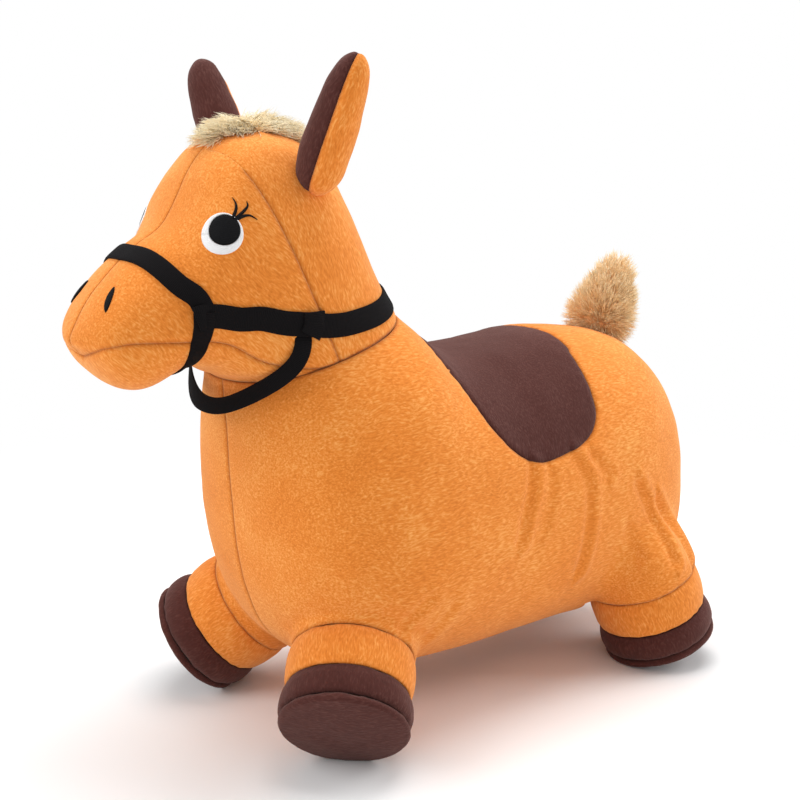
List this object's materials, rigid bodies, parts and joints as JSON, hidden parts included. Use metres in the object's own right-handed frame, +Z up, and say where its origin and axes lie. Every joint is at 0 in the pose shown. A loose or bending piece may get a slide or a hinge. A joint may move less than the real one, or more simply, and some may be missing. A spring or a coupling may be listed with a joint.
{
  "type": "bouncy ride-on horse",
  "caption": "Inflatable hopping horse for a small child in a sewn plush cover, with saddle panel, bridle, rein loop, ears, tail, hooves and a belly zip.",
  "frame": {"origin": "under the middle of the animal's length and width, on the floor", "axes": "+Z up, -Y the way that the horse faces, +X its left side"},
  "size_m": [0.2872, 0.5536, 0.5007],
  "materials": {
    "bladder_rubber": "matt",
    "orange_plush": "short pile",
    "black_webbing": "woven",
    "brown_plush": "short pile",
    "stuffing": "matt",
    "white_thread": "embroidered",
    "tan_fur": "long pile",
    "black_thread": "embroidered",
    "valve_plastic": "matt",
    "zip_metal": "satin",
    "zip_tape": "woven"
  },
  "bodies": {
    "body": {"air_bladder": "bladder_rubber", "body_cover_left": "orange_plush", "body_cover_right": "orange_plush", "saddle_panel": "brown_plush", "valve_eyelet": "orange_plush", "valve_seat": "bladder_rubber", "zip_stop_front": "zip_metal", "zip_stop_rear": "zip_metal", "zip_tape_left": "zip_tape", "zip_tape_right": "zip_tape", "zip_teeth_left": "zip_metal", "zip_teeth_right": "zip_metal"},
    "head": {"chin_panel": "orange_plush", "chin_strap": "black_webbing", "forelock": "tan_fur", "headstall_strap": "black_webbing", "noseband": "black_webbing", "neck_cover_left": "orange_plush", "neck_cover_right": "orange_plush", "head_cover_left": "orange_plush", "head_cover_right": "orange_plush", "eye_white_left": "white_thread", "eye_white_right": "white_thread", "pupil_left": "black_thread", "pupil_right": "black_thread", "lashes_left": "black_thread", "lashes_right": "black_thread", "nostril_left": "black_thread", "nostril_right": "black_thread"},
    "tail": {"tail_fur": "tan_fur", "tail_stuffing": "stuffing"},
    "rein": {"rein_loop": "black_webbing"},
    "zip_slider": {"zip_slider": "zip_metal"},
    "zip_pull": {"zip_pull_tab": "zip_metal"},
    "valve_plug": {"valve_plug": "valve_plastic"},
    "ear_left": {"ear_back_left": "orange_plush", "ear_lining_left": "brown_plush", "ear_stuffing_left": "stuffing"},
    "ear_right": {"ear_back_right": "orange_plush", "ear_lining_right": "brown_plush", "ear_stuffing_right": "stuffing"},
    "leg_front_left": {"leg_band_front_left": "orange_plush", "hoof_band_front_left": "brown_plush", "hoof_sole_front_left": "brown_plush"},
    "leg_front_right": {"leg_band_front_right": "orange_plush", "hoof_band_front_right": "brown_plush", "hoof_sole_front_right": "brown_plush"},
    "leg_rear_left": {"leg_band_rear_left": "orange_plush", "hoof_band_rear_left": "brown_plush", "hoof_sole_rear_left": "brown_plush"},
    "leg_rear_right": {"leg_band_rear_right": "orange_plush", "hoof_band_rear_right": "brown_plush", "hoof_sole_rear_right": "brown_plush"}
  },
  "joints": [
    {"name": "head_nod", "type": "hinge", "parent": "body", "child": "head", "pos_m": [0, -0.09501, 0.29624], "axis": [1, 0, 0], "range_deg": [-4, 4], "stiffness_Nm_per_rad": 30, "deforming": ["air_bladder"]},
    {"name": "ear_left_flop", "type": "hinge", "parent": "head", "child": "ear_left", "pos_m": [0.05403, -0.11572, 0.41591], "axis": [1, 0, 0], "range_deg": [-10, 10], "stiffness_Nm_per_rad": 0.6, "deforming": ["air_bladder"]},
    {"name": "ear_right_flop", "type": "hinge", "parent": "head", "child": "ear_right", "pos_m": [-0.05403, -0.11572, 0.41591], "axis": [1, 0, 0], "range_deg": [-10, 10], "stiffness_Nm_per_rad": 0.6, "deforming": ["air_bladder"]},
    {"name": "leg_front_left_flex", "type": "hinge", "parent": "body", "child": "leg_front_left", "pos_m": [0.0712, -0.09957, 0.07145], "axis": [0.6858, 0.7278, 0], "range_deg": [-4, 4], "stiffness_Nm_per_rad": 60, "deforming": ["air_bladder"]},
    {"name": "leg_front_right_flex", "type": "hinge", "parent": "body", "child": "leg_front_right", "pos_m": [-0.0712, -0.09957, 0.07145], "axis": [0.6858, -0.7278, 0], "range_deg": [-4, 4], "stiffness_Nm_per_rad": 60, "deforming": ["air_bladder"]},
    {"name": "leg_rear_left_flex", "type": "hinge", "parent": "body", "child": "leg_rear_left", "pos_m": [0.08265, 0.19419, 0.07167], "axis": [-0.9385, 0.3453, 0], "range_deg": [-4, 4], "stiffness_Nm_per_rad": 60, "deforming": ["air_bladder"]},
    {"name": "leg_rear_right_flex", "type": "hinge", "parent": "body", "child": "leg_rear_right", "pos_m": [-0.08265, 0.19419, 0.07167], "axis": [-0.9385, -0.3453, 0], "range_deg": [-4, 4], "stiffness_Nm_per_rad": 60, "deforming": ["air_bladder"]},
    {"name": "tail_wag", "type": "hinge", "parent": "body", "child": "tail", "pos_m": [0, 0.21245, 0.27079], "axis": [1, 0, 0], "range_deg": [-15, 15], "stiffness_Nm_per_rad": 0.6},
    {"name": "rein_swing", "type": "hinge", "parent": "head", "child": "rein", "pos_m": [0, -0.13605, 0.317], "axis": [-1, 0, 0], "range_deg": [0, 18]},
    {"name": "zip_slide", "type": "slide", "parent": "body", "child": "zip_slider", "axis": [0, 1, 0], "range_m": [0, 0.148], "deforming": ["zip_teeth_left", "zip_teeth_right"]},
    {"name": "pull_tab_swing", "type": "hinge", "parent": "zip_slider", "child": "zip_pull", "pos_m": [0, -0.01625, 0.0287], "axis": [1, 0, 0], "range_deg": [-75, 75]},
    {"name": "plug_pull", "type": "slide", "parent": "body", "child": "valve_plug", "axis": [0, 0, -1], "range_m": [0, 0.016]}
  ]
}
